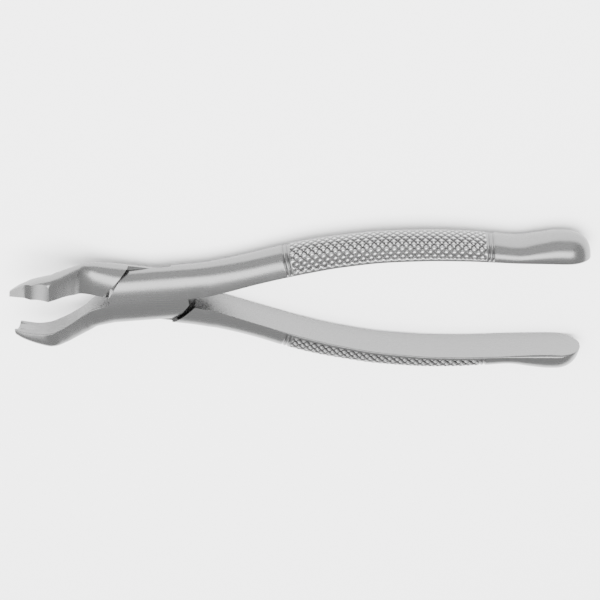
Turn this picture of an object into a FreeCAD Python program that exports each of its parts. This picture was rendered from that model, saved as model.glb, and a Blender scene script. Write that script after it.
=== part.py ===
import FreeCAD, Part
import math
import os

from FreeCAD import Vector

# Dental extraction forceps: two crossed halves on a lap joint, held by one flush pivot screw.
#
# Millimetres. Both halves are drawn with the beaks closed, the pivot along Z and the parting plane of
# the lap joint at z = 0. +X runs to the handle ends, the handles open along Y and the beaks step up
# along +Z. The halves are then swung half of the opening angle each way, and the whole is lifted so
# that the flat round the screw head lies at z = 0 with the pivot on the Z axis.

# ---- driving dimensions ------------------------------------------------------------------------

opening_angle = 12.4      # degrees between the halves as shown, 0 with the beaks closed

# lap joint, as seen on the front half
joint_half_width = 8.9    # from the pivot to the side of the joint, along Y
joint_half_depth = 5.3    # from the parting plane to the front of the joint
lap_clearance = 0.05      # between the two lap faces
lap_edge_reach = 10.76     # from the pivot, square to the edge of the lap
lap_edge_angle = 51.0     # of that edge from X
lap_edge_inner_y = 2.2    # where the edge stops, beside the throat
shoulder_clearance = 0.2  # between a shoulder and the circle swept by the lap's outer corner
shoulder_angle = 53.0     # of that shoulder from X
throat_x = 15.0           # where the inner faces of handle and beak leave the middle plane
throat_gap = 0.3          # from the middle plane to an inner face there
throat_thickness = 8.65   # of a handle there

# pivot screw, let into the rear lap
screw_head_radius = 3.6
screw_head_depth = 2.2
screw_head_chamfer = 0.2
screw_shank_radius = 2.6
screw_thread_radius = 2.2
screw_thread_depth = 3.6  # into the front lap
screw_slot_width = 0.9
screw_slot_depth = 0.9
screw_running_fit = 0.03  # round the shank and the head
screw_bottom_gap = 0.3    # left beyond the tip of the thread
rear_flat_cut = 0.7       # ground off the rear lap to make the flat
rear_flat_radius = 6.0

# handle
handle_end_round = 7.8    # length of the rounded end
handle_end_fall = 0.10    # how far the inner flat falls per millimetre in the rounded end
handle_end_fullness = 2.7  # of its side view, 2 for an ellipse

# beaks
scoop_radius = 3.0        # hollow of the gripping face
scoop_depth = 1.5         # at its deep end, past the blunt tip
point_scoop_depth = 0.35  # the same on the pointed beak
scoop_start_x = -31.5
scoop_end_x = -42.0
front_tip_x = -39.8       # middle of the blunt tip
front_tip_slant = 12.0    # degrees, seen square to the gripping face
point_x = -41.4           # the pointed tip
point_half_width = 0.35
notch_start_x = -29.2     # hollow ground into each flank beside the point
notch_end_x = -34.8
notch_end_half_width = 2.1
notch_hollow = 0.3        # of the flank, below the chord of the notch
step_end_x = -36.7        # where the steep step behind the point ends
step_end_half_width = 0.95

# Handle: distance from the pivot, height of the inner flat, thickness along Y, width along Z, and how
# far the middle of that width lies in front of the parting plane.
handle_stations = [
    (18.0, 0.45, 8.65, 10.8, 0.0),
    (22.0, 1.05, 8.35, 11.1, -0.25),
    (34.0, 3.55, 7.60, 11.6, -0.35),
    (47.0, 5.95, 7.65, 12.0, 0.15),
    (59.5, 7.60, 7.20, 12.2, 0.45),
    (72.0, 8.30, 6.85, 12.5, 0.65),
    (84.0, 7.95, 6.55, 12.9, 0.75),
    (96.0, 6.85, 6.15, 13.2, 0.65),
    (106.0, 5.45, 5.60, 13.4, 0.45),
    (112.0, 4.50, 5.30, 13.6, 0.30),
    (119.5, 3.40, 6.75, 13.8, 0.10),
    (125.0, 2.70, 7.60, 13.9, 0.0),
    (126.4, 2.55, 7.60, 13.9, 0.0),
]

# Beak: distance from the pivot, inner face, thickness along Y, lower and upper side along Z, and the
# fullness of its rounded side, 0.55 for an ellipse and 1 for a rectangle.
front_beak_stations = [
    (-44.0, 0.05, 0.9, 6.8, 12.2, 0.80),
    (-41.0, 1.10, 2.2, 6.9, 12.8, 0.80),
    (-38.0, 1.90, 3.5, 7.2, 13.7, 0.80),
    (-33.4, 2.55, 4.9, 7.7, 14.5, 0.80),
    (-30.6, 2.70, 5.7, 7.3, 14.8, 0.80),
    (-28.7, 2.85, 6.0, 6.1, 14.2, 0.80),
    (-26.0, 2.90, 6.35, 4.1, 12.0, 0.75),
    (-22.4, 2.45, 6.9, 1.4, 8.7, 0.68),
    (-19.6, 1.65, 7.6, -0.6, 6.5, 0.62),
    (-17.3, 0.95, 8.1, -3.1, 5.45, 0.58),
]

rear_beak_stations = [
    (-44.0, 0.02, 0.2, 9.4, 12.9, 0.80),
    (-42.3, 0.08, 1.2, 8.8, 13.2, 0.80),
    (-41.0, 0.18, 2.5, 8.2, 13.4, 0.80),
    (-38.0, 0.70, 4.35, 7.6, 14.1, 0.80),
    (-32.8, 1.75, 6.00, 7.7, 14.5, 0.80),
    (-30.0, 1.98, 6.70, 7.3, 14.7, 0.80),
    (-28.2, 2.08, 6.95, 5.9, 13.6, 0.80),
    (-25.6, 2.05, 7.25, 3.8, 11.2, 0.75),
    (-22.4, 1.35, 8.30, 1.4, 7.9, 0.68),
    (-20.4, 0.85, 8.85, -0.1, 5.9, 0.62),
    (-17.3, 0.45, 8.85, -3.1, 5.35, 0.58),
]

ellipse_fullness = 0.5523  # handle of a cubic curve that draws a quarter of an ellipse
handle_step = 2.4          # between the sections that the handle is drawn through
beak_step = 0.85
dome_steps = 8
dome_last_angle = 82.0     # of the last section of the rounded end, where 90 is its tip
far = 60.0                 # beyond every cross-section


# ---- sections and skins --------------------------------------------------------------------------

def section(x, flat_y, crest_y, low_z, high_z, fullness):
    """Poles of a D across X: a flat at flat_y, and two cubic quarters that meet level at the crest."""
    middle = 0.5 * (low_z + high_z)
    shoulder_y = flat_y + fullness * (crest_y - flat_y)
    high = Vector(x, flat_y, high_z)
    low = Vector(x, flat_y, low_z)
    crest = Vector(x, crest_y, middle)
    high_side = Vector(x, shoulder_y, high_z)
    low_side = Vector(x, shoulder_y, low_z)
    high_top = Vector(x, crest_y, middle + fullness * (high_z - middle))
    low_top = Vector(x, crest_y, middle + fullness * (low_z - middle))
    return [low, high], [high, high_side, high_top, crest], [crest, low_top, low_side, low]


def skin(lines, places, level_end):
    """Face through rows of poles: a cubic spline along the places, one curve of its poles across.

    At the first or the last place, as level_end says, the face leaves along X.
    """
    runs = []
    for line in zip(*lines):
        first = (line[1] - line[0]) / (places[1] - places[0])
        last = (line[-1] - line[-2]) / (places[-1] - places[-2])
        if level_end == 0:
            first = Vector(1.0, 0.0, 0.0)
        else:
            last = Vector(1.0, 0.0, 0.0)
        run = Part.BSplineCurve()
        run.interpolate(
            Points=list(line),
            Parameters=places,
            InitialTangent=first,
            FinalTangent=last,
            Scale=False,
        )
        runs.append(run)
    poles = [list(row) for row in zip(*[run.getPoles() for run in runs])]
    across = len(runs)
    surface = Part.BSplineSurface()
    surface.buildFromPolesMultsKnots(
        poles,
        runs[0].getMultiplicities(),
        [across, across],
        runs[0].getKnots(),
        [0.0, 1.0],
        False,
        False,
        runs[0].Degree,
        across - 1,
    )
    return surface.toShape()


def skinned_solid(sections, places, level_end):
    """Closed solid through D sections, with a plane at each end."""
    faces = []
    for lines in zip(*sections):
        faces.append(skin(lines, places, level_end))
    for flat, up, down in (sections[0], sections[-1]):
        edges = [Part.LineSegment(flat[0], flat[1]).toShape()]
        for poles in (up, down):
            curve = Part.BezierCurve()
            curve.setPoles(poles)
            edges.append(curve.toShape())
        faces.append(Part.Face(Part.Wire(edges)))
    shell = Part.makeShell(faces)
    shell.sewShape()
    solid = Part.makeSolid(Part.Shell(shell.Faces))
    solid.fix(0.0, 0.0, 0.0)
    if solid.Volume < 0.0:
        solid.reverse()
    return solid


def steady_slopes(places, values):
    """Slope at each place, chosen so that a cubic through the values never overshoots them."""
    rises = []
    for i in range(len(places) - 1):
        rises.append((values[i + 1] - values[i]) / (places[i + 1] - places[i]))
    slopes = [rises[0]]
    for before, after in zip(rises, rises[1:]):
        together = before * after > 0.0
        slopes.append(2.0 * before * after / (before + after) if together else 0.0)
    slopes.append(rises[-1])
    return slopes


def steady_value(places, values, place):
    """Value at a place on the cubic that steady_slopes describes; places run upwards."""
    slopes = steady_slopes(places, values)
    i = 0
    while i < len(places) - 2 and place > places[i + 1]:
        i += 1
    step = places[i + 1] - places[i]
    t = (place - places[i]) / step
    near = (1.0 + 2.0 * t) * (1.0 - t) ** 2 * values[i] + t * (1.0 - t) ** 2 * step * slopes[i]
    away = t * t * (3.0 - 2.0 * t) * values[i + 1] - t * t * (1.0 - t) * step * slopes[i + 1]
    return near + away


def rows_between(rows, step):
    """Rows at an even spacing, each column worked out from the steady curve through the given rows."""
    columns = list(zip(*rows))
    first = columns[0][0]
    last = columns[0][-1]
    count = max(2, int(round((last - first) / step)))
    made = []
    for i in range(count + 1):
        place = first + (last - first) * i / count
        made.append([place] + [steady_value(columns[0], column, place) for column in columns[1:]])
    return made


# ---- bodies of a half --------------------------------------------------------------------------

def beak_stations(side):
    return rear_beak_stations if side > 0 else front_beak_stations


def lap_corner_x():
    """Where the edge of the lap stops beside the throat."""
    turn = math.radians(lap_edge_angle)
    return (lap_edge_reach - lap_edge_inner_y * math.cos(turn)) / math.sin(turn)


def joint_oval():
    """Straight oval bar between the two corners of the lap, shared by handle and beak."""
    corner = lap_corner_x()
    edges = []
    for side in (1.0, -1.0):
        crest = side * joint_half_width
        poles = section(-corner, 0.0, crest, -joint_half_depth, joint_half_depth, ellipse_fullness)
        for quarter in poles[1:]:
            curve = Part.BezierCurve()
            curve.setPoles(quarter)
            edges.append(curve.toShape())
    outline = Part.Wire(Part.__sortEdges__(edges))
    return Part.Face(outline).extrude(Vector(2.0 * corner, 0.0, 0.0))


def handle_body(side):
    """Handle, from the corner of the lap to the rounded end."""
    depth = 2.0 * joint_half_depth
    rows = [
        (lap_corner_x(), 0.0, joint_half_width, depth, 0.0),
        (throat_x, throat_gap, throat_thickness, depth, 0.0),
    ]
    sections = []
    places = []
    for x, flat, thickness, width, middle in rows_between(rows + handle_stations, handle_step):
        low = middle - 0.5 * width
        high = middle + 0.5 * width
        crest = side * (flat + thickness)
        sections.append(section(x, side * flat, crest, low, high, ellipse_fullness))
        places.append(x)
    x, flat, thickness, width, middle = handle_stations[-1]
    for i in range(dome_steps):
        turn = math.radians(dome_last_angle * (i + 1) / dome_steps)
        run = handle_end_round * math.sin(turn)
        half = 0.5 * width * math.cos(turn)
        fallen = flat - handle_end_fall * run
        left = (1.0 - math.sin(turn) ** handle_end_fullness) ** (1.0 / handle_end_fullness)
        crest = side * (fallen + thickness * left)
        low = middle - half
        high = middle + half
        sections.append(section(x + run, side * fallen, crest, low, high, ellipse_fullness))
        places.append(x + handle_end_round * turn)
    return skinned_solid(sections, places, 0)


def beak_body(side):
    """Beak on the given side of Y, from past the tip to the corner of the lap."""
    depth = joint_half_depth
    root = (-lap_corner_x(), 0.0, joint_half_width, -depth, depth, ellipse_fullness)
    sections = []
    places = []
    for row in rows_between(beak_stations(side) + [root], beak_step):
        x, inner, thickness, low, high, fullness = row
        sections.append(section(x, side * inner, side * (inner + thickness), low, high, fullness))
        places.append(x)
    return skinned_solid(sections, places, 1)


# ---- cuts --------------------------------------------------------------------------------------

def prism_across(points, low_y, high_y):
    """Prism along Y of an outline given as (x, z) points."""
    corners = [Vector(x, low_y, z) for x, z in points]
    face = Part.Face(Part.makePolygon(corners + corners[:1]))
    return face.extrude(Vector(0.0, high_y - low_y, 0.0))


def shoulder_reach():
    """From the pivot to a shoulder, which clears the outer corner of the other lap at every angle."""
    turn = math.radians(lap_edge_angle)
    outer_x = (lap_edge_reach - joint_half_width * math.cos(turn)) / math.sin(turn)
    return math.hypot(outer_x, joint_half_width) + shoulder_clearance


def lap_recess(side):
    """What the other half's lap takes up: a slab on its side of the parting plane, between shoulders."""
    reach = shoulder_reach()
    slab = Part.makeBox(2.0 * reach, 2.0 * far, far, Vector(-reach, -far, 0.0))
    if side > 0:
        slab.translate(Vector(0.0, 0.0, -far + 0.5 * lap_clearance))
    else:
        slab.translate(Vector(0.0, 0.0, -0.5 * lap_clearance))
    slab.rotate(Vector(0.0, 0.0, 0.0), Vector(0.0, 0.0, 1.0), side * (90.0 - shoulder_angle))
    return slab


def lap_edge_trims(side):
    """The two corners of the joint bar that lie beyond this half's lap edges."""
    turn = math.radians(lap_edge_angle)
    trims = []
    for end in (1.0, -1.0):
        corner = Vector(end * lap_corner_x(), -end * side * lap_edge_inner_y, 0.0)
        along = Vector(-end * math.cos(turn), -end * side * math.sin(turn), 0.0)
        outer = corner + along * far
        beyond = Vector(end * far, outer.y, 0.0)
        level = Vector(end * far, corner.y, 0.0)
        face = Part.Face(Part.makePolygon([corner, outer, beyond, level, corner]))
        prism = face.extrude(Vector(0.0, 0.0, 2.0 * far))
        prism.translate(Vector(0.0, 0.0, -far))
        trims.append(prism)
    return trims


def beak_row(side, x):
    """Inner face, thickness, lower side, upper side and fullness of a beak at x."""
    columns = list(zip(*beak_stations(side)))
    return [steady_value(columns[0], column, x) for column in columns[1:]]


def beak_middle_z(side, x):
    row = beak_row(side, x)
    return 0.5 * (row[2] + row[3])


def scoop(side):
    """Round hollow along the gripping face, from nothing to its full depth past the tip."""
    start = Vector(scoop_start_x, side * beak_row(side, scoop_start_x)[0], beak_middle_z(side, scoop_start_x))
    end = Vector(scoop_end_x, side * beak_row(side, scoop_end_x)[0], beak_middle_z(side, scoop_end_x))
    depth = point_scoop_depth if side > 0 else scoop_depth
    start.y -= side * scoop_radius
    end.y -= side * (scoop_radius - depth)
    along = end - start
    return Part.makeCylinder(scoop_radius, along.Length + 6.0, start, along)


def blunt_tip_trim():
    """What lies past the slanted blunt tip."""
    rise = math.tan(math.radians(front_tip_slant))
    middle = beak_middle_z(-1.0, front_tip_x)
    low = (front_tip_x + rise * (middle + far), -far)
    high = (front_tip_x + rise * (middle - far), far)
    return prism_across([low, high, (-2.0 * far, far), (-2.0 * far, -far)], -far, far)


def pointed_tip_trims():
    """Both flanks beside the point: a hollow notch, a steep step, then a straight taper."""
    trims = []
    for way in (1.0, -1.0):
        row = beak_row(1.0, notch_start_x)
        start = Vector(notch_start_x, -far, row[3] if way > 0 else row[2])
        end = Vector(notch_end_x, -far, beak_middle_z(1.0, notch_end_x) + way * notch_end_half_width)
        step = Vector(step_end_x, -far, beak_middle_z(1.0, step_end_x) + way * step_end_half_width)
        tip = Vector(point_x, -far, beak_middle_z(1.0, point_x) + way * point_half_width)
        middle = (start + end) * 0.5 - Vector(0.0, 0.0, way * notch_hollow)
        past = Vector(point_x - far, -far, tip.z)
        outer = Vector(point_x - far, -far, way * far)
        level = Vector(notch_start_x, -far, way * far)
        edges = [Part.Arc(start, middle, end).toShape()]
        corners = [end, step, tip, past, outer, level, start]
        for one, other in zip(corners, corners[1:]):
            edges.append(Part.LineSegment(one, other).toShape())
        trims.append(Part.Face(Part.Wire(edges)).extrude(Vector(0.0, 2.0 * far, 0.0)))
    over = Part.makeBox(far, 2.0 * far, 2.0 * far, Vector(point_x - far, -far, -far))
    return trims + [over]


# ---- pieces ------------------------------------------------------------------------------------

def rear_flat_z():
    return -joint_half_depth + rear_flat_cut


def plain_half(side):
    """One forging, closed: handle on the given side of Y, beak on the other, lap in front if side > 0."""
    body = joint_oval().fuse([handle_body(side), beak_body(-side)])
    cutters = [lap_recess(side)] + lap_edge_trims(side) + [scoop(-side)]
    return body.cut(cutters)


def make_front_half():
    half = plain_half(1.0).cut(blunt_tip_trim())
    bore = Part.makeCylinder(screw_thread_radius, screw_thread_depth + screw_bottom_gap)
    return half.cut(bore)


def make_rear_half():
    half = plain_half(-1.0).cut(pointed_tip_trims())
    down = Vector(0.0, 0.0, -1.0)
    spot = Part.makeCylinder(rear_flat_radius, far, Vector(0.0, 0.0, rear_flat_z()), down)
    head_floor = rear_flat_z() + screw_head_depth + screw_running_fit
    head = Part.makeCylinder(
        screw_head_radius + screw_running_fit, far, Vector(0.0, 0.0, head_floor), down
    )
    shank = Part.makeCylinder(screw_shank_radius + screw_running_fit, 2.0 * far, Vector(0.0, 0.0, -far))
    return half.cut([spot, head, shank])


def make_pivot_screw():
    """Slotted head at the rear, plain shank as far as the front lap, thread in the front lap."""
    base = rear_flat_z()
    seat = 0.5 * lap_clearance
    profile = [
        (0.0, base),
        (screw_head_radius - screw_head_chamfer, base),
        (screw_head_radius, base + screw_head_chamfer),
        (screw_head_radius, base + screw_head_depth),
        (screw_shank_radius, base + screw_head_depth),
        (screw_shank_radius, seat),
        (screw_thread_radius, seat),
        (screw_thread_radius, screw_thread_depth - screw_head_chamfer),
        (screw_thread_radius - screw_head_chamfer, screw_thread_depth),
        (0.0, screw_thread_depth),
    ]
    corners = [Vector(radius, 0.0, z) for radius, z in profile]
    face = Part.Face(Part.makePolygon(corners + corners[:1]))
    screw = face.revolve(Vector(0.0, 0.0, 0.0), Vector(0.0, 0.0, 1.0), 360.0)
    corner = Vector(-0.5 * screw_slot_width, -far, base)
    slot = Part.makeBox(screw_slot_width, 2.0 * far, screw_slot_depth, corner)
    slot.rotate(Vector(0.0, 0.0, 0.0), Vector(0.0, 0.0, 1.0), 35.0)
    return screw.cut(slot)


def placed(shape, swing):
    """Shape swung about the pivot by some degrees, with the flat round the screw head at z = 0."""
    copy = shape.copy()
    copy.rotate(Vector(0.0, 0.0, 0.0), Vector(0.0, 0.0, 1.0), swing)
    copy.translate(Vector(0.0, 0.0, -rear_flat_z()))
    return copy


def single_solid(shape):
    return shape.Solids[0] if len(shape.Solids) == 1 else shape


def main():
    os.makedirs("parts", exist_ok=True)
    pieces = {
        "front_half": placed(make_front_half(), 0.5 * opening_angle),
        "rear_half": placed(make_rear_half(), -0.5 * opening_angle),
        "pivot_screw": placed(make_pivot_screw(), 0.5 * opening_angle),
    }
    for name, shape in pieces.items():
        solid = single_solid(shape)
        solid.exportStep(os.path.join("parts", name + ".step"))
        box = solid.BoundBox
        print(name, solid.isValid(), len(solid.Solids), round(solid.Volume, 1), box)


main()
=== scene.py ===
import math

import bmesh
import bpy
import numpy as np
from mathutils import Matrix, Vector


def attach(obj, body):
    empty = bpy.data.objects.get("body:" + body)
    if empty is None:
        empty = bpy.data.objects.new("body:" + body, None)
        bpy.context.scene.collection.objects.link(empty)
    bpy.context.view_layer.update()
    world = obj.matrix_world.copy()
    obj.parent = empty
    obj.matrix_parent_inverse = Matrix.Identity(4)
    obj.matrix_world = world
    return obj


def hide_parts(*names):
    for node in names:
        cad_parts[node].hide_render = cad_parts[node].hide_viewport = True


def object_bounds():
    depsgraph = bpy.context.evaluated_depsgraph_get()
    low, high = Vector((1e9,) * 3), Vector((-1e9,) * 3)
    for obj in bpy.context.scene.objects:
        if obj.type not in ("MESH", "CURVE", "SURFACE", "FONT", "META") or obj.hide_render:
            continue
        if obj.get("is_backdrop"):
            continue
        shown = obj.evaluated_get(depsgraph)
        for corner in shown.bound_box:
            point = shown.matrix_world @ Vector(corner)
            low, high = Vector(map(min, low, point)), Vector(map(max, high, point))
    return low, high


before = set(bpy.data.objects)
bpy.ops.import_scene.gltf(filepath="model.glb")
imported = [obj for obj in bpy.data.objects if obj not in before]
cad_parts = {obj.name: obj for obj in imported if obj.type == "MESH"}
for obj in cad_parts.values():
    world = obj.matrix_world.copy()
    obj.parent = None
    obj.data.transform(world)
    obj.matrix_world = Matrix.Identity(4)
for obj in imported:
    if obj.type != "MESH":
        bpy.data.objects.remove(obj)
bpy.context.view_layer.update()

bl_info = {
    "name": "Extraction Forceps",
    "version": (1, 0, 0),
    "blender": (4, 5, 0),
    "location": "View3D > Sidebar > Forceps",
    "description": "Builds the two forged halves and the pivot screw of extraction forceps",
    "category": "Object",
}

MM = 0.001

# The two halves are drawn with the beaks closed, the pivot along Z and the parting plane of the lap
# joint at z = 0, in millimetres. place_half() swings and lifts them into the frame.

OPENING = 12.4            # degrees between the halves at rest
LIFT = 4.6                # from the flat round the screw head to the parting plane
HALF_WIDTH = 8.9          # of the joint, along Y
HALF_DEPTH = 5.3          # of the joint, along Z
LAP_CLEARANCE = 0.05
LAP_REACH = 10.76         # from the pivot to the edge of the lap
LAP_ANGLE = 51.0          # of that edge from X
LAP_INNER_Y = 2.2
SHOULDER_REACH = 11.3     # from the pivot to the shoulder that faces the edge
SHOULDER_ANGLE = 53.0
DOME_LENGTH = 7.8         # of the rounded end of a handle
DOME_FALL = 0.10          # slope of its flat, towards the other handle
DOME_FULLNESS = 2.7       # of its side view, 2 for an ellipse
DOME_LAST = 82.0          # degrees, angle of its last ring
THROAT_X = 15.0           # where the handle takes over from the joint
SCOOP_START_X = -31.5     # where the hollow of a gripping face starts
SCOOP_END_X = -42.0       # where it has its full depth
BLUNT_TIP_X = -39.8
NOTCH_START_X = -29.2     # flanks of the pointed beak, from the hollow notch to the point
NOTCH_END_X = -34.8
STEP_END_X = -36.7
POINT_X = -41.4
POINT_HALF_WIDTH = 0.35
REAR_FLAT_RADIUS = 6.0    # flat ground round the screw head
HEAD_RADIUS = 3.6
HEAD_HEIGHT = 2.2
SHANK_RADIUS = 2.6
THREAD_RADIUS = 2.2
THREAD_END = 3.9          # bottom of the tapped hole, above the parting plane
RUNNING_FIT = 0.03        # between the screw and the rear half
GRIP_RIM = (34.0, 50.0)   # where the rounding beside a handle's flat grows to that of the grip
END_RIM = (108.0, 122.0)  # and to that of the handle's end
TIP_RIM = (38.0, 44.0)    # where the rounding beside a gripping face shrinks towards the tip

ELLIPSE = 0.5523          # fullness of a cubic quarter that draws an ellipse
CUT_X = 21.0              # where the cut part of a half meets the plain handle
FAR = 60.0                # past every side of the forceps
WELD = 0.02               # keeps neighbouring rings apart where two shapes meet
FINE_STEP = 0.2           # between rings along the knurling
ACROSS_OUT = 84           # faces round the outer side of a handle
ACROSS_IN = 44            # faces round its inner side
SHARP_ANGLE = 28.0        # degrees, past which two faces are shaded apart

# Handle: distance from the pivot, height of the inner flat, thickness along Y, width along Z, and
# how far the middle of that width lies in front of the parting plane.
HANDLE = np.array([
    (15.0, 0.30, 8.65, 10.6, 0.0),
    (18.0, 0.45, 8.65, 10.8, 0.0),
    (22.0, 1.05, 8.35, 11.1, -0.25),
    (34.0, 3.55, 7.60, 11.6, -0.35),
    (47.0, 5.95, 7.65, 12.0, 0.15),
    (59.5, 7.60, 7.20, 12.2, 0.45),
    (72.0, 8.30, 6.85, 12.5, 0.65),
    (84.0, 7.95, 6.55, 12.9, 0.75),
    (96.0, 6.85, 6.15, 13.2, 0.65),
    (106.0, 5.45, 5.60, 13.4, 0.45),
    (112.0, 4.50, 5.30, 13.6, 0.30),
    (119.5, 3.40, 6.75, 13.8, 0.10),
    (125.0, 2.70, 7.60, 13.9, 0.0),
    (126.4, 2.55, 7.60, 13.9, 0.0),
])

# Beak: distance from the pivot, inner face, thickness along Y, lower and upper side along Z, and
# fullness of its rounded side.
FRONT_BEAK = np.array([
    (-44.0, 0.05, 0.9, 6.8, 12.2, 0.80),
    (-41.0, 1.10, 2.2, 6.9, 12.8, 0.80),
    (-38.0, 1.90, 3.5, 7.2, 13.7, 0.80),
    (-33.4, 2.55, 4.9, 7.7, 14.5, 0.80),
    (-30.6, 2.70, 5.7, 7.3, 14.8, 0.80),
    (-28.7, 2.85, 6.0, 6.1, 14.2, 0.80),
    (-26.0, 2.90, 6.35, 4.1, 12.0, 0.75),
    (-22.4, 2.45, 6.9, 1.4, 8.7, 0.68),
    (-19.6, 1.65, 7.6, -0.6, 6.5, 0.62),
    (-17.3, 0.95, 8.1, -3.1, 5.45, 0.58),
])

REAR_BEAK = np.array([
    (-44.0, 0.02, 0.2, 9.4, 12.9, 0.80),
    (-42.3, 0.08, 1.2, 8.8, 13.2, 0.80),
    (-41.0, 0.18, 2.5, 8.2, 13.4, 0.80),
    (-38.0, 0.70, 4.35, 7.6, 14.1, 0.80),
    (-32.8, 1.75, 6.00, 7.7, 14.5, 0.80),
    (-30.0, 1.98, 6.70, 7.3, 14.7, 0.80),
    (-28.2, 2.08, 6.95, 5.9, 13.6, 0.80),
    (-25.6, 2.05, 7.25, 3.8, 11.2, 0.75),
    (-22.4, 1.35, 8.30, 1.4, 7.9, 0.68),
    (-20.4, 0.85, 8.85, -0.1, 5.9, 0.62),
    (-17.3, 0.45, 8.85, -3.1, 5.35, 0.58),
])


# ---- colours and nodes -------------------------------------------------------------------------

def linear(code):
    """Linear RGB of an sRGB hex code: the inverse of the sRGB curve, channel by channel."""
    values = [int(code[i:i + 2], 16) / 255.0 for i in (1, 3, 5)]
    return [v / 12.92 if v <= 0.04045 else ((v + 0.055) / 1.055) ** 2.4 for v in values]


def add(tree, kind, settings=(), inputs=(), links=()):
    """One node with its settings, its input values and the sockets that feed it."""
    node = tree.nodes.new(kind)
    for name, value in dict(settings).items():
        setattr(node, name, value)
    for name, value in dict(inputs).items():
        node.inputs[name].default_value = value
    for name, socket in dict(links).items():
        tree.links.new(socket, node.inputs[name])
    return node


# ---- curves and meshes -------------------------------------------------------------------------

def steady(table, x):
    """Columns of a table at x, on cubics through its rows that never overshoot them.

    The slope at a row is the harmonic mean of the rises on its two sides, or 0 where they differ in
    sign, and the rise itself at both ends.
    """
    places, values = table[:, 0], table[:, 1:]
    rise = np.diff(values, axis=0) / np.diff(places)[:, None]
    before, after = rise[:-1], rise[1:]
    together = before * after > 0.0
    total = np.where(together, before + after, 1.0)
    middle = np.where(together, 2.0 * before * after / total, 0.0)
    slope = np.vstack([rise[:1], middle, rise[-1:]])
    i = np.clip(np.searchsorted(places, x) - 1, 0, len(places) - 2)
    step = (places[i + 1] - places[i])[:, None]
    t = (x - places[i])[:, None] / step
    near = (1.0 + 2.0 * t) * (1.0 - t) ** 2 * values[i] + t * (1.0 - t) ** 2 * step * slope[i]
    away = t * t * (3.0 - 2.0 * t) * values[i + 1] - t * t * (1.0 - t) * step * slope[i + 1]
    return (near + away).T


def round_side(flat, crest, low, high, full, count):
    """Rounded side of a D in each row, from the low corner over the crest to the high corner.

    Each half is the cubic with poles corner, corner + full * rise, crest + full * half-width and
    crest.
    """
    t = np.linspace(0.0, 1.0, count // 2 + 1)[None, :]
    flat, crest, low, high, full = (np.asarray(v)[:, None] for v in (flat, crest, low, high, full))
    climb = 3.0 * full * t * (1.0 - t) ** 2 + 3.0 * t * t * (1.0 - t) + t ** 3
    shrink = (1.0 - t) ** 3 + 3.0 * t * (1.0 - t) ** 2 + 3.0 * full * t * t * (1.0 - t)
    middle = 0.5 * (low + high)
    y = flat + (crest - flat) * climb
    z_low = middle + (low - middle) * shrink
    z_high = middle + (high - middle) * shrink
    return np.hstack([y, y[:, -2::-1]]), np.hstack([z_low, z_high[:, -2::-1]])


def flat_side(flat, radius, low, high, count, arc=6):
    """Flat side of a D in each row, from the low to the high corner, with quarter-circle rims."""
    flat, radius, low, high = (np.asarray(v)[:, None] for v in (flat, radius, low, high))
    turn = np.linspace(0.0, 0.5 * np.pi, arc + 1)[None, :]
    rim_y = flat + radius * (1.0 - np.sin(turn))
    rim_z = radius * (1.0 - np.cos(turn))
    across = np.linspace(0.0, 1.0, count - 2 * arc + 1)[None, 1:-1]
    flat_z = (low + radius) + (high - low - 2.0 * radius) * across
    flat_y = flat + 0.0 * flat_z
    y = np.hstack([rim_y, flat_y, rim_y[:, ::-1]])
    z = np.hstack([low + rim_z, flat_z, high - rim_z[:, ::-1]])
    return y, z


def rings(x, upper, lower):
    """Closed rings of points: along the upper path, then back along the lower one."""
    y = np.hstack([upper[0], lower[0][:, -2:0:-1]])
    z = np.hstack([upper[1], lower[1][:, -2:0:-1]])
    return np.dstack([np.repeat(x[:, None], y.shape[1], axis=1), y, z])


def tube_faces(rows, around):
    """Quads between neighbouring rings, and one face over each end."""
    i, j = np.meshgrid(np.arange(rows - 1), np.arange(around), indexing="ij")
    k = (j + 1) % around
    here, there = i * around, (i + 1) * around
    quads = np.stack([here + j, here + k, there + k, there + j], axis=-1)
    ends = [list(range(around))[::-1], list(range((rows - 1) * around, rows * around))]
    return quads.reshape(-1, 4).tolist() + ends


def new_mesh(name, points, faces):
    """Mesh of an array of points and a list of faces."""
    mesh = bpy.data.meshes.new(name)
    mesh.from_pydata(np.asarray(points, dtype=float).reshape(-1, 3).tolist(), [], faces)
    mesh.update()
    return mesh


def outward(mesh):
    """Turns every face of a closed mesh outwards."""
    work = bmesh.new()
    work.from_mesh(mesh)
    bmesh.ops.recalc_face_normals(work, faces=work.faces)
    work.to_mesh(mesh)
    work.free()


def prism(outline, axis, low, high):
    """Closed prism of an outline of two-number points, run along X (0), Y (1) or Z (2)."""
    outline = np.asarray(outline, dtype=float)
    count = len(outline)
    ends = [np.insert(outline, axis, value, axis=1) for value in (low, high)]
    return np.stack(ends), tube_faces(2, count)


def cylinder(radius, start, end, count=96):
    """Closed cylinder between the centres of its two ends: a circle at both, run straight across.

    Its corners start half a step round, which keeps them off the crest lines of the joint.
    """
    start, end = Vector(start), Vector(end)
    turn = (np.arange(count) + 0.5) * 2.0 * np.pi / count
    circle = np.column_stack([radius * np.cos(turn), radius * np.sin(turn), 0.0 * turn])
    matrix = np.array((end - start).to_track_quat("Z", "Y").to_matrix())
    circle = circle @ matrix.T
    return np.stack([circle + np.array(start), circle + np.array(end)]), tube_faces(2, count)


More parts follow.
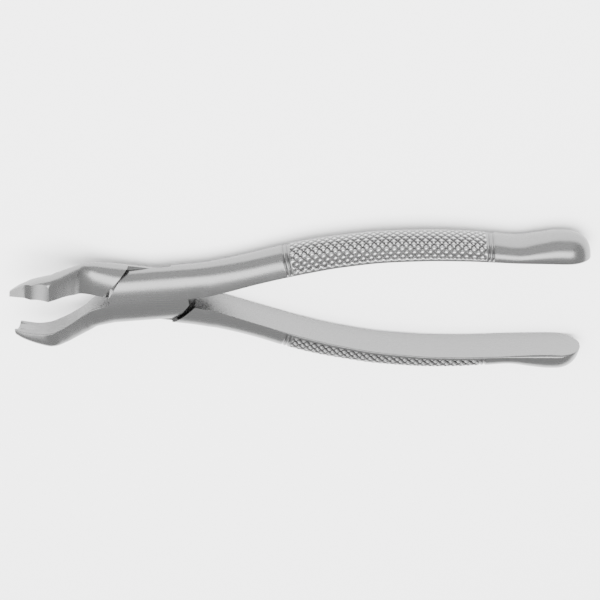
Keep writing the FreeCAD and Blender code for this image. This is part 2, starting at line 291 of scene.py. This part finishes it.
def cut(mesh, cutters):
    """Mesh with each cutter taken away exactly."""
    body = bpy.data.objects.new("cut_body", mesh)
    bpy.context.scene.collection.objects.link(body)
    tools = []
    for points, faces in cutters:
        tool_mesh = new_mesh("cut_tool", points, faces)
        outward(tool_mesh)
        tool = bpy.data.objects.new("cut_tool", tool_mesh)
        bpy.context.scene.collection.objects.link(tool)
        tools.append(tool)
        step = body.modifiers.new("cut", "BOOLEAN")
        step.operation = "DIFFERENCE"
        step.solver = "EXACT"
        step.object = tool
    ready = body.evaluated_get(bpy.context.evaluated_depsgraph_get())
    result = bpy.data.meshes.new_from_object(ready)
    for tool in tools + [body]:
        bpy.data.objects.remove(tool, do_unlink=True)
    return result


# ---- shape of a half ---------------------------------------------------------------------------

def lap_corner_x():
    """Distance from the pivot to the inner corner of a lap's edge, along X."""
    turn = math.radians(LAP_ANGLE)
    return (LAP_REACH - LAP_INNER_Y * math.cos(turn)) / math.sin(turn)


def handle_table():
    """Handle's rows, from the oval joint outwards."""
    root = (lap_corner_x(), 0.0, HALF_WIDTH, 2.0 * HALF_DEPTH, 0.0)
    return np.vstack([root, HANDLE])


def beak_table(side):
    """Beak on the given side of Y: the rear half's on +Y, the front half's on -Y."""
    root = (-lap_corner_x(), 0.0, HALF_WIDTH, -HALF_DEPTH, HALF_DEPTH, ELLIPSE)
    return np.vstack([REAR_BEAK if side > 0 else FRONT_BEAK, root])


def fade(value, start, end):
    """0 before start, 1 after end, and the smooth cubic 3t^2 - 2t^3 between."""
    t = np.clip((value - start) / (end - start), 0.0, 1.0)
    return t * t * (3.0 - 2.0 * t)


def handle_rings(x, flat, thickness, width, middle, rim):
    """Outer and inner path of a handle's rings: a half ellipse over a flat with rounded rims."""
    low, high = middle - 0.5 * width, middle + 0.5 * width
    full = 0.0 * x + ELLIPSE
    upper = round_side(flat + rim, flat + thickness, low, high, full, ACROSS_OUT)
    lower = flat_side(flat, rim, low, high, ACROSS_IN)
    return upper, lower


def knurl_relief(x, along, sizes):
    """Depth below the handle's surface, and share of knurl, at x and arc length s off the crest.

    Two families of grooves cross at right angles, where x + s and x - s are whole numbers of
    pitches, and leave square pyramids between them, rounded over as a quarter sine of the distance
    to the nearest groove. Two round grooves close each end, bell-shaped across and bowed along the
    handle as a parabola.
    """
    start = sizes.knurl_start / MM
    end = sizes.knurl_end / MM
    pitch = sizes.knurl_pitch / MM
    depth = sizes.knurl_depth / MM
    border = sizes.knurl_border / MM
    half_arc = along.max(axis=1, keepdims=True)
    bow = sizes.ring_bow / MM * (1.0 - (along / half_arc) ** 2)
    first = (x + along) / pitch
    second = (x - along) / pitch
    away = np.minimum(np.abs(first - np.round(first)), np.abs(second - np.round(second)))
    blunt_top = 0.42
    far_bow = 0.4
    pyramid = np.sin(0.5 * np.pi * np.clip(away / blunt_top, 0.0, 1.0))
    inside = fade(x + bow, start, start + 0.3) * (1.0 - fade(x - far_bow * bow, end - 0.3, end))
    edge = half_arc - border
    inside = inside * (1.0 - fade(np.abs(along), edge - 0.25, edge + 0.1))
    relief = depth * (1.0 - pyramid) * inside
    gap = sizes.ring_gap / MM
    width = sizes.ring_width / MM
    near_edge = 1.0 - fade(np.abs(along), half_arc - 0.5 * border - 0.2, half_arc - 0.1)
    band = np.zeros_like(relief)
    for i in (0.6, 1.6):
        for line in (x + bow - (start - i * gap), x - far_bow * bow - (end + i * gap)):
            ring = np.exp(-(line / (0.5 * width)) ** 2)
            band = np.maximum(band, ring)
    ring_share = 0.75
    relief = np.maximum(relief, ring_share * depth * band * near_edge)
    return relief, np.maximum(inside, band * near_edge)


def handle_rim(x, sizes):
    """Rounding beside the flat: none along the shank, small along the grip, broader at the end."""
    broad = (sizes.end_round - sizes.rim_radius) / MM * fade(x, *END_RIM)
    return sizes.rim_radius / MM * fade(x, *GRIP_RIM) + broad + WELD


def handle_mesh(sizes):
    """Handle from the cut part to its rounded end, with the knurling sunk into its outer side.

    Over the rounded end at angle t, the width falls as cos t and the thickness as the superellipse
    (1 - sin(t)^n)^(1/n) with n the fullness. The groove attribute is the root of the relief's share
    of the full depth, which widens the painted shade laid into the grooves.
    """
    table = handle_table()
    start = sizes.knurl_start / MM - 4.5
    end = sizes.knurl_end / MM + 3.5
    last = table[-1, 0]
    fine = int((end - start) / FINE_STEP)
    x = np.concatenate([
        np.linspace(CUT_X, start, 26)[:-1],
        np.linspace(start, end, fine)[:-1],
        np.linspace(end, last, 30),
    ])
    flat, thickness, width, middle = steady(table, x)
    rim = handle_rim(x, sizes)
    turn = np.radians(np.linspace(0.0, DOME_LAST, 30)[1:])
    run = DOME_LENGTH * np.sin(turn)
    x = np.concatenate([x, last + run])
    flat = np.concatenate([flat, flat[-1] - DOME_FALL * run])
    left = (1.0 - np.sin(turn) ** DOME_FULLNESS) ** (1.0 / DOME_FULLNESS)
    thickness = np.concatenate([thickness, thickness[-1] * left])
    width = np.concatenate([width, width[-1] * np.cos(turn)])
    rim = np.concatenate([rim, rim[-1] * np.cos(turn)])
    middle = np.concatenate([middle, middle[-1] + 0.0 * turn])
    upper, lower = handle_rings(x, flat, thickness, width, middle, rim)
    y, z = upper
    step = np.hypot(np.diff(y, axis=1), np.diff(z, axis=1))
    along = np.hstack([np.zeros((len(x), 1)), np.cumsum(step, axis=1)])
    along = along - 0.5 * along[:, -1:]
    relief, knurled = knurl_relief(x[:, None], along, sizes)
    slope_y, slope_z = np.gradient(y, axis=1), np.gradient(z, axis=1)
    length = np.hypot(slope_y, slope_z)
    upper = (y - relief * slope_z / length, z + relief * slope_y / length)
    points = rings(x, upper, lower)
    mesh = new_mesh("handle", points, tube_faces(len(x), points.shape[1])[:-2])
    empty = np.zeros((len(x), points.shape[1] - y.shape[1]))
    # Painted shade: groove sets how far the base colour darkens towards the groove colour in the
    # knurl grooves.
    groove = np.sqrt(relief / (sizes.knurl_depth / MM))
    for name, values in (("knurled", knurled), ("groove", groove)):
        layer = mesh.attributes.new(name, "FLOAT", "POINT")
        layer.data.foreach_set("value", np.hstack([values, empty]).ravel())
    work = bmesh.new()
    work.from_mesh(mesh)
    work.verts.ensure_lookup_table()
    work.faces.new(work.verts[-points.shape[1]:])
    work.to_mesh(mesh)
    work.free()
    return mesh


def joint_rings(side, sizes):
    """Rings from the cut end of the handle, through the oval joint, to past the tip of the beak."""
    corner = lap_corner_x()
    x = np.concatenate([
        np.linspace(CUT_X, THROAT_X, 20)[:-1],
        np.linspace(THROAT_X, corner + WELD, 12),
    ])
    flat, thickness, width, middle = steady(handle_table(), x)
    upper, lower = handle_rings(x, flat, thickness, width, middle, handle_rim(x, sizes))
    parts = [rings(x, upper, lower)]
    x = np.linspace(corner, -corner, 40)
    zero = 0.0 * x
    oval = [zero, zero + HALF_WIDTH, zero - HALF_DEPTH, zero + HALF_DEPTH, zero + ELLIPSE]
    upper = round_side(*oval, ACROSS_OUT)
    lower = round_side(*oval, ACROSS_IN)
    parts.append(rings(x, upper, (-lower[0], lower[1])))
    x = np.linspace(-corner - WELD, FRONT_BEAK[0, 0], 110)
    inner, thickness, low, high, full = steady(beak_table(-side), x)
    rim = sizes.beak_rim / MM * fade(-x, corner, corner + 5.0)
    rim = rim * (1.0 - 0.7 * fade(-x, *TIP_RIM)) + WELD
    upper = flat_side(inner, rim, low, high, ACROSS_OUT)
    lower = round_side(inner + rim, inner + thickness, low, high, full, ACROSS_IN)
    parts.append(rings(x, (-upper[0], upper[1]), (-lower[0], lower[1])))
    return np.concatenate(parts)


def lap_recess(side):
    """Slab that holds the other half's lap, between the two shoulders."""
    reach = SHOULDER_REACH
    box = [(-reach, -FAR), (reach, -FAR), (reach, FAR), (-reach, FAR)]
    turn = math.radians(side * (90.0 - SHOULDER_ANGLE))
    spin = np.array([[math.cos(turn), math.sin(turn)], [-math.sin(turn), math.cos(turn)]])
    middle = 0.5 * side * LAP_CLEARANCE
    low, high = (-FAR, middle) if side > 0 else (middle, FAR)
    return prism(np.array(box) @ spin, 2, low, high)


def lap_trims(side):
    """The two corners of the joint that lie beyond a half's lap edges."""
    turn = math.radians(LAP_ANGLE)
    trims = []
    for end in (1.0, -1.0):
        x, y = end * (lap_corner_x() + 0.01), -end * side * LAP_INNER_Y
        far_x, far_y = x - end * math.cos(turn) * FAR, y - end * side * math.sin(turn) * FAR
        outline = [(x, y), (far_x, far_y), (end * FAR, far_y), (end * FAR, y)]
        trims.append(prism(outline, 2, -FAR, FAR))
    return trims


def beak_at(side, x):
    """Inner face, thickness, lower side, upper side and fullness of a beak at one place."""
    return steady(beak_table(side), np.array([x]))[:, 0]


def scoop(side, sizes):
    """Cylinder that hollows the gripping face, from nothing to its full depth past the tip."""
    radius = sizes.scoop_radius / MM
    ends = []
    deep = sizes.point_scoop if side > 0 else sizes.scoop_depth
    for x, depth in ((SCOOP_START_X, 0.0), (SCOOP_END_X, deep / MM)):
        inner, _, low, high, _ = beak_at(side, x)
        ends.append(Vector((x, side * (inner - radius + depth), 0.5 * (low + high))))
    return cylinder(radius, ends[0], ends[0] + 1.5 * (ends[1] - ends[0]))


def blunt_tip(sizes):
    """What lies past the slanted blunt tip of the front half's beak."""
    x = BLUNT_TIP_X
    _, _, low, high, _ = beak_at(-1.0, x)
    rise = math.tan(sizes.tip_slant)
    middle = 0.5 * (low + high)
    return [prism([
        (x + rise * (middle + FAR), -FAR),
        (x + rise * (middle - FAR), FAR),
        (-2.0 * FAR, FAR),
        (-2.0 * FAR, -FAR),
    ], 1, -FAR, FAR)]


def beak_middle_z(x):
    """Middle of the pointed beak between its lower and upper side."""
    _, _, low, high, _ = beak_at(1.0, x)
    return 0.5 * (low + high)


def pointed_tip(sizes):
    """Both flanks beside the point: a hollow notch on a parabola, a steep step and a taper."""
    trims = []
    start, end = NOTCH_START_X, NOTCH_END_X
    past = POINT_X - FAR
    t = np.linspace(0.0, 1.0, 25)
    for way in (1.0, -1.0):
        top = beak_at(1.0, start)[3 if way > 0 else 2]
        waist = beak_middle_z(end) + way * sizes.point_waist / MM
        foot = beak_middle_z(STEP_END_X) + way * sizes.step_waist / MM
        tip = beak_middle_z(POINT_X) + way * POINT_HALF_WIDTH
        z = top + (waist - top) * t - way * 4.0 * sizes.notch_hollow / MM * t * (1.0 - t)
        hollow = np.column_stack([start + (end - start) * t, z])
        flank = [(STEP_END_X, foot), (POINT_X, tip), (past, tip)]
        outline = np.vstack([hollow, flank + [(past, way * FAR), (start, way * FAR)]])
        trims.append(prism(outline, 1, -FAR, FAR))
    end_box = [(past, -FAR), (POINT_X, -FAR), (POINT_X, FAR), (past, FAR)]
    trims.append(prism(end_box, 1, -FAR, FAR))
    return trims


def screw_bores():
    """Flat ground round the screw head, counterbore and shank hole, all open at the rear."""
    outside = (0, 0, -LIFT - 5.0)
    head_floor = -LIFT + HEAD_HEIGHT + RUNNING_FIT
    return [
        cylinder(REAR_FLAT_RADIUS, (0, 0, -LIFT), outside, 128),
        cylinder(HEAD_RADIUS + RUNNING_FIT, (0, 0, head_floor), outside, 128),
        cylinder(SHANK_RADIUS + RUNNING_FIT, (0, 0, 5.0), outside, 96),
    ]


def joint_mesh(side, sizes):
    """Joint and beak of a half, cut to its lap, as a closed mesh with its end face at CUT_X."""
    points = joint_rings(side, sizes)
    points[:, :, 1] *= side
    body = new_mesh("joint", points, tube_faces(*points.shape[:2]))
    outward(body)
    cutters = [lap_recess(side)] + lap_trims(side) + [scoop(-side, sizes)]
    if side > 0:
        cutters += blunt_tip(sizes) + [cylinder(THREAD_RADIUS, (0, 0, -1.0), (0, 0, THREAD_END))]
    else:
        cutters += pointed_tip(sizes) + screw_bores()
    return cut(body, cutters)


def place_half(points, side):
    """Points of a closed half, in millimetres, swung open, lifted and turned to metres."""
    turn = math.radians(0.5 * side * OPENING)
    swung = np.empty_like(points)
    swung[:, 0] = math.cos(turn) * points[:, 0] - math.sin(turn) * points[:, 1]
    swung[:, 1] = math.sin(turn) * points[:, 0] + math.cos(turn) * points[:, 1]
    swung[:, 2] = points[:, 2] + LIFT
    return swung * MM


def make_half(name, side, sizes):
    """One forging: the handle and the cut joint welded along their shared ring."""
    work = bmesh.new()
    handle = handle_mesh(sizes)
    points = np.empty(3 * len(handle.vertices))
    handle.vertices.foreach_get("co", points)
    points = points.reshape(-1, 3)
    points[:, 1] *= side
    handle.vertices.foreach_set("co", points.ravel())
    work.from_mesh(handle)
    joint = joint_mesh(side, sizes)
    # Empty knurl and painted groove shade attributes, so the joint matches the handle.
    for attribute in ("knurled", "groove"):
        if attribute not in joint.attributes:
            joint.attributes.new(attribute, "FLOAT", "POINT")
    work.from_mesh(joint)
    seam = {v for v in work.verts if abs(v.co.x - CUT_X) < 1e-5}
    lids = [f for f in work.faces if len(f.verts) > 4 and seam.issuperset(f.verts)]
    bmesh.ops.delete(work, geom=lids, context="FACES_ONLY")
    bmesh.ops.remove_doubles(work, verts=list(seam), dist=1e-4)
    bmesh.ops.recalc_face_normals(work, faces=work.faces)
    mesh = bpy.data.meshes.new(name)
    work.to_mesh(mesh)
    work.free()
    mesh.shade_smooth()
    mesh.set_sharp_from_angle(angle=math.radians(SHARP_ANGLE))
    smooth_knurl(mesh)
    points = np.empty(3 * len(mesh.vertices))
    mesh.vertices.foreach_get("co", points)
    mesh.vertices.foreach_set("co", place_half(points.reshape(-1, 3), side).ravel())
    mesh.update()
    piece = bpy.data.objects.new(name, mesh)
    bpy.context.scene.collection.objects.link(piece)
    return piece


def smooth_knurl(mesh):
    """Clears the sharp marks past the joint, where the knurling is shaded by its own fine faces."""
    ends = np.empty(2 * len(mesh.edges), dtype=int)
    mesh.edges.foreach_get("vertices", ends)
    points = np.empty(3 * len(mesh.vertices))
    mesh.vertices.foreach_get("co", points)
    sharp = np.empty(len(mesh.edges), dtype=bool)
    mesh.attributes["sharp_edge"].data.foreach_get("value", sharp)
    sharp &= points[0::3][ends[0::2]] < CUT_X
    mesh.attributes["sharp_edge"].data.foreach_set("value", sharp)


# ---- materials ---------------------------------------------------------------------------------

def new_material(name):
    """Material with one shader, its tree and that shader."""
    material = bpy.data.materials.new(name)
    material.use_nodes = True
    tree = material.node_tree
    tree.nodes.clear()
    shader = add(tree, "ShaderNodeBsdfPrincipled")
    add(tree, "ShaderNodeOutputMaterial", links={"Surface": shader.outputs["BSDF"]})
    return material, tree, shader


def satin_stainless(colours):
    """Martensitic stainless steel, forged, then satin brushed along its length.

    To the eye it is a soft grey metal: broad blurred reflections, fine grit lines along the handle,
    and a brighter, sharper shine where the rollers pressed the knurling. Its base colour darkens
    into the knurl grooves as painted shade.
    """
    material, tree, shader = new_material("satin_stainless_steel")
    place = add(tree, "ShaderNodeTexCoord").outputs["Object"]
    grit = add(tree, "ShaderNodeMapping", inputs={"Scale": (1 / 0.009, 1 / 0.00035, 1 / 0.00035)},
               links={"Vector": place})
    lines = add(tree, "ShaderNodeTexNoise", inputs={"Scale": 1.0, "Detail": 4.0, "Roughness": 0.6},
                links={"Vector": grit.outputs["Vector"]})
    cloud = add(tree, "ShaderNodeTexNoise", inputs={"Scale": 1 / 0.011, "Detail": 2.0},
                links={"Vector": place})
    knurled = add(tree, "ShaderNodeAttribute", {"attribute_name": "knurled"}).outputs["Fac"]
    # Painted shade: the groove attribute darkens the base colour in the knurl grooves.
    groove = add(tree, "ShaderNodeAttribute", {"attribute_name": "groove"}).outputs["Fac"]
    streak = add(tree, "ShaderNodeMapRange", inputs={"To Min": -0.05, "To Max": 0.05},
                 links={"Value": lines.outputs["Fac"]})
    patch = add(tree, "ShaderNodeMapRange", inputs={"To Min": 0.23, "To Max": 0.31},
                links={"Value": cloud.outputs["Fac"]})
    satin = add(tree, "ShaderNodeMath", {"operation": "ADD"})
    tree.links.new(streak.outputs["Result"], satin.inputs[0])
    tree.links.new(patch.outputs["Result"], satin.inputs[1])
    finish = add(tree, "ShaderNodeMix", {"data_type": "FLOAT"}, links={"Factor": knurled})
    tree.links.new(satin.outputs["Value"], finish.inputs["A"])
    rolled = 0.09
    finish.inputs["B"].default_value = rolled
    tree.links.new(finish.outputs["Result"], shader.inputs["Roughness"])
    polish = add(tree, "ShaderNodeMix", {"data_type": "RGBA"}, links={"Factor": knurled})
    polish.inputs["A"].default_value = (*colours.steel, 1.0)
    polish.inputs["B"].default_value = (*colours.crest, 1.0)
    # Mixes the painted groove shade into the base colour.
    painted_groove_shade = add(tree, "ShaderNodeMix", {"data_type": "RGBA"}, links={"Factor": groove})
    tree.links.new(polish.outputs["Result"], painted_groove_shade.inputs["A"])
    painted_groove_shade.inputs["B"].default_value = (*colours.groove, 1.0)
    tree.links.new(painted_groove_shade.outputs["Result"], shader.inputs["Base Color"])
    bump = add(tree, "ShaderNodeBump", inputs={"Strength": 0.15, "Distance": 0.00002},
               links={"Height": lines.outputs["Fac"]})
    tree.links.new(bump.outputs["Normal"], shader.inputs["Normal"])
    shader.inputs["Metallic"].default_value = 1.0
    return material


def turned_stainless(colours):
    """Stainless screw head, faced on a lathe: rings 0.12 mm apart round the axis."""
    material, tree, shader = new_material("turned_stainless_steel")
    place = add(tree, "ShaderNodeTexCoord").outputs["Object"]
    rings_node = add(tree, "ShaderNodeTexWave",
                     {"wave_type": "RINGS", "rings_direction": "Z"},
                     {"Scale": 1 / 0.0024, "Distortion": 0.4}, {"Vector": place})
    finish = add(tree, "ShaderNodeMapRange", inputs={"To Min": 0.2, "To Max": 0.34},
                 links={"Value": rings_node.outputs["Fac"]})
    bump = add(tree, "ShaderNodeBump", inputs={"Strength": 0.3, "Distance": 0.00001},
               links={"Height": rings_node.outputs["Fac"]})
    tree.links.new(finish.outputs["Result"], shader.inputs["Roughness"])
    tree.links.new(bump.outputs["Normal"], shader.inputs["Normal"])
    shader.inputs["Base Color"].default_value = (*colours.steel, 1.0)
    shader.inputs["Metallic"].default_value = 1.0
    return material


def pale_paper(colours):
    """Matt white sweep under the instrument, with the faint mottle of card."""
    material, tree, shader = new_material("pale_card")
    place = add(tree, "ShaderNodeTexCoord").outputs["Object"]
    mottle = add(tree, "ShaderNodeTexNoise", inputs={"Scale": 1 / 0.004, "Detail": 3.0},
                 links={"Vector": place})
    bump = add(tree, "ShaderNodeBump", inputs={"Strength": 0.05, "Distance": 0.00005},
               links={"Height": mottle.outputs["Fac"]})
    tree.links.new(bump.outputs["Normal"], shader.inputs["Normal"])
    shader.inputs["Base Color"].default_value = (*colours.card, 1.0)
    shader.inputs["Roughness"].default_value = 0.9
    return material


# ---- sizes and colours a user can change -------------------------------------------------------

def length(name, default, description):
    """Length property, its default given in millimetres."""
    return bpy.props.FloatProperty(name=name, default=default * MM, description=description,
                                   unit="LENGTH", subtype="DISTANCE", precision=5)


def colour(name, code, description):
    """Colour property, its default given as an sRGB hex code."""
    return bpy.props.FloatVectorProperty(name=name, default=linear(code), description=description,
                                         subtype="COLOR", size=3, min=0.0, max=1.0)


class ForcepsSizes(bpy.types.PropertyGroup):
    """Sizes of the details that are worked into the two forgings."""

    knurl_start: length("Knurl start", 45.2, "From the pivot to the joint end of the knurling")
    knurl_end: length("Knurl end", 102.6, "From the pivot to the far end of the knurling")
    knurl_pitch: length("Knurl pitch", 2.36, "Between neighbouring diamonds along the handle")
    knurl_depth: length("Knurl depth", 0.46, "From the tops of the diamonds to the grooves")
    knurl_border: length("Knurl border", 0.6, "Plain strip beside the flat")
    ring_gap: length("Ring spacing", 1.2, "Between the two round grooves at each end")
    ring_width: length("Ring width", 0.62, "Width of a round groove")
    ring_bow: length("Ring bow", 1.2, "How far the rings curve along the handle")
    rim_radius: length("Rim radius", 0.3, "Rounding between a handle's flat and its outer side")
    end_round: length("End rounding", 0.9, "That rounding at the end of the handle")
    beak_rim: length("Beak rim", 0.3, "Rounding beside the gripping face")
    scoop_radius: length("Scoop radius", 3.0, "Radius of the hollow in a gripping face")
    scoop_depth: length("Scoop depth", 1.5, "Depth of that hollow past the blunt tip")
    point_scoop: length("Point scoop depth", 0.35, "The same on the pointed beak")
    point_waist: length("Point waist", 2.1, "Half-width of the pointed beak before its step")
    step_waist: length("Step waist", 0.95, "Half-width of the pointed beak past its step")
    notch_hollow: length("Notch hollow", 0.3, "Hollow of each flank beside the point")
    tip_slant: bpy.props.FloatProperty(name="Tip slant", default=math.radians(12.0),
                                       description="Angle of the blunt tip", subtype="ANGLE")


class ForcepsColours(bpy.types.PropertyGroup):
    """Colours of the metal, of the painted shade in its knurl grooves, and of the card it lies on.
    """

    steel: colour("Steel", "#7B7B7B", "Reflection colour of the satin steel")
    crest: colour("Crest", "#C4C4C4", "Reflection colour of the polished crests of the knurling")
    # Groove: painted shade, a dark base colour laid into the knurl grooves in place of their shade.
    groove: colour("Groove", "#262626", "Reflection colour at the bottom of the knurl grooves")
    card: colour("Card", "#F6F6F6", "Card under the instrument")


# ---- operators ---------------------------------------------------------------------------------

class FORCEPS_OT_front_half(bpy.types.Operator):
    """Make the forging with the front lap and the blunt beak"""

    bl_idname = "forceps.front_half"
    bl_label = "Front half"

    def execute(self, context):
        piece = make_half("front_forging", 1.0, context.scene.forceps_sizes)
        piece.data.materials.append(satin_stainless(context.scene.forceps_colours))
        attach(piece, "front")
        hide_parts("front_half")
        return {"FINISHED"}


class FORCEPS_OT_rear_half(bpy.types.Operator):
    """Make the forging with the rear lap and the pointed beak"""

    bl_idname = "forceps.rear_half"
    bl_label = "Rear half"

    def execute(self, context):
        piece = make_half("rear_forging", -1.0, context.scene.forceps_sizes)
        piece.data.materials.append(bpy.data.materials["satin_stainless_steel"])
        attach(piece, "rear")
        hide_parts("rear_half")
        return {"FINISHED"}


class FORCEPS_OT_pivot_screw(bpy.types.Operator):
    """Give the pivot screw its turned finish"""

    bl_idname = "forceps.pivot_screw"
    bl_label = "Pivot screw"

    def execute(self, context):
        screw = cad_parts["pivot_screw"]
        screw.data.materials.clear()
        screw.data.materials.append(turned_stainless(context.scene.forceps_colours))
        return {"FINISHED"}


# Lamps: name, place in metres, sides in metres, watts. The card lamp whitens the card and leaves no
# reflection in the steel.
LAMPS = (
    ("key", (0.045, 0.31, 0.90), (1.4, 0.50), 16.0),
    ("fill", (0.045, 0.85, 0.42), (1.4, 0.5), 1.2),
    ("end", (-0.50, -0.36, 0.72), (0.45, 0.45), 2.6),
    ("card_lamp", (0.045, 0.1, 1.2), (0.8, 0.8), 44.0),
)
ROOM_GREY = (0.8, 0.8, 0.8)
ROOM_STRENGTH = 1.4
CARD_HALF = 2.0           # m


def soft_box(name, place, target, size, power):
    """Square area light at a place, in metres, aimed at a target."""
    lamp = bpy.data.lights.new(name, "AREA")
    lamp.shape = "RECTANGLE"
    lamp.size, lamp.size_y = size
    lamp.energy = power
    light = bpy.data.objects.new(name, lamp)
    light.location = place
    light.rotation_mode = "QUATERNION"
    light.rotation_quaternion = (Vector(target) - Vector(place)).to_track_quat("-Z", "Y")
    bpy.context.scene.collection.objects.link(light)


class FORCEPS_OT_stage(bpy.types.Operator):
    """Lay the card, hang the lights and set up the camera"""

    bl_idname = "forceps.stage"
    bl_label = "Stage"

    def execute(self, context):
        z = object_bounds()[0].z
        side = CARD_HALF
        corners = [(-side, -side, z), (side, -side, z), (side, side, z), (-side, side, z)]
        card = bpy.data.objects.new("card", new_mesh("card", corners, [(0, 1, 2, 3)]))
        card.data.materials.append(pale_paper(context.scene.forceps_colours))
        context.scene.collection.objects.link(card)
        card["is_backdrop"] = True
        middle = (0.045, 0.0, LIFT * MM)
        for name, place, size, power in LAMPS:
            soft_box(name, place, middle, size, power)
        bpy.data.objects["card_lamp"].visible_glossy = False
        world = bpy.data.worlds.new("white_room")
        world.use_nodes = True
        background = world.node_tree.nodes["Background"]
        background.inputs["Color"].default_value = (*ROOM_GREY, 1.0)
        background.inputs["Strength"].default_value = ROOM_STRENGTH
        context.scene.world = world
        make_camera(context.scene)
        return {"FINISHED"}


CAMERA_TILT = 32.0        # degrees, from straight above the joint towards the upper handle
CAMERA_ROLL = 0.9
CAMERA_DISTANCE = 520.0   # mm
VIEW_WIDTH = 183.8        # mm, seen at that distance
VIEW_MIDDLE_X = 45.9      # mm from the pivot
VIEW_DROP = 1.32          # mm, of the middle of the view below the pivot
SENSOR = 36.0


def make_camera(scene):
    """Long lens above the instrument, tilted towards +Y, with +Y upwards in its view."""
    tilt, roll = math.radians(CAMERA_TILT), math.radians(CAMERA_ROLL)
    back = Vector((0.0, math.sin(tilt), math.cos(tilt)))
    plain_up = Vector((0.0, math.cos(tilt), -math.sin(tilt)))
    right = Vector((math.cos(roll), 0.0, 0.0)) + plain_up * math.sin(roll)
    up = plain_up * math.cos(roll) - Vector((math.sin(roll), 0.0, 0.0))
    middle = Vector((VIEW_MIDDLE_X, 0.0, LIFT)) - VIEW_DROP * plain_up
    lens = bpy.data.cameras.new("camera")
    lens.sensor_width = SENSOR
    lens.lens = SENSOR * CAMERA_DISTANCE / VIEW_WIDTH
    lens.clip_start = 0.01
    camera = bpy.data.objects.new("camera", lens)
    turn = Matrix((right, up, back)).transposed().to_4x4()
    camera.matrix_world = Matrix.Translation((middle + back * CAMERA_DISTANCE) * MM) @ turn
    scene.collection.objects.link(camera)
    scene.camera = camera


class FORCEPS_PT_panel(bpy.types.Panel):
    """Panel with the pieces of the forceps"""

    bl_label = "Extraction forceps"
    bl_idname = "FORCEPS_PT_panel"
    bl_space_type = "VIEW_3D"
    bl_region_type = "UI"
    bl_category = "Forceps"

    def draw(self, context):
        column = self.layout.column()
        for group in (context.scene.forceps_sizes, context.scene.forceps_colours):
            for name in group.__annotations__:
                column.prop(group, name)
        for operator in OPERATORS:
            column.operator(operator.bl_idname)


OPERATORS = (FORCEPS_OT_front_half, FORCEPS_OT_rear_half, FORCEPS_OT_pivot_screw, FORCEPS_OT_stage)
CLASSES = (ForcepsSizes, ForcepsColours) + OPERATORS + (FORCEPS_PT_panel,)


def register():
    for cls in CLASSES:
        bpy.utils.register_class(cls)
    bpy.types.Scene.forceps_sizes = bpy.props.PointerProperty(type=ForcepsSizes)
    bpy.types.Scene.forceps_colours = bpy.props.PointerProperty(type=ForcepsColours)


def unregister():
    del bpy.types.Scene.forceps_colours
    del bpy.types.Scene.forceps_sizes
    for cls in reversed(CLASSES):
        bpy.utils.unregister_class(cls)


def main():
    register()
    bpy.ops.forceps.front_half()
    bpy.ops.forceps.rear_half()
    bpy.ops.forceps.pivot_screw()
    bpy.ops.forceps.stage()


if __name__ == "__main__":
    main()
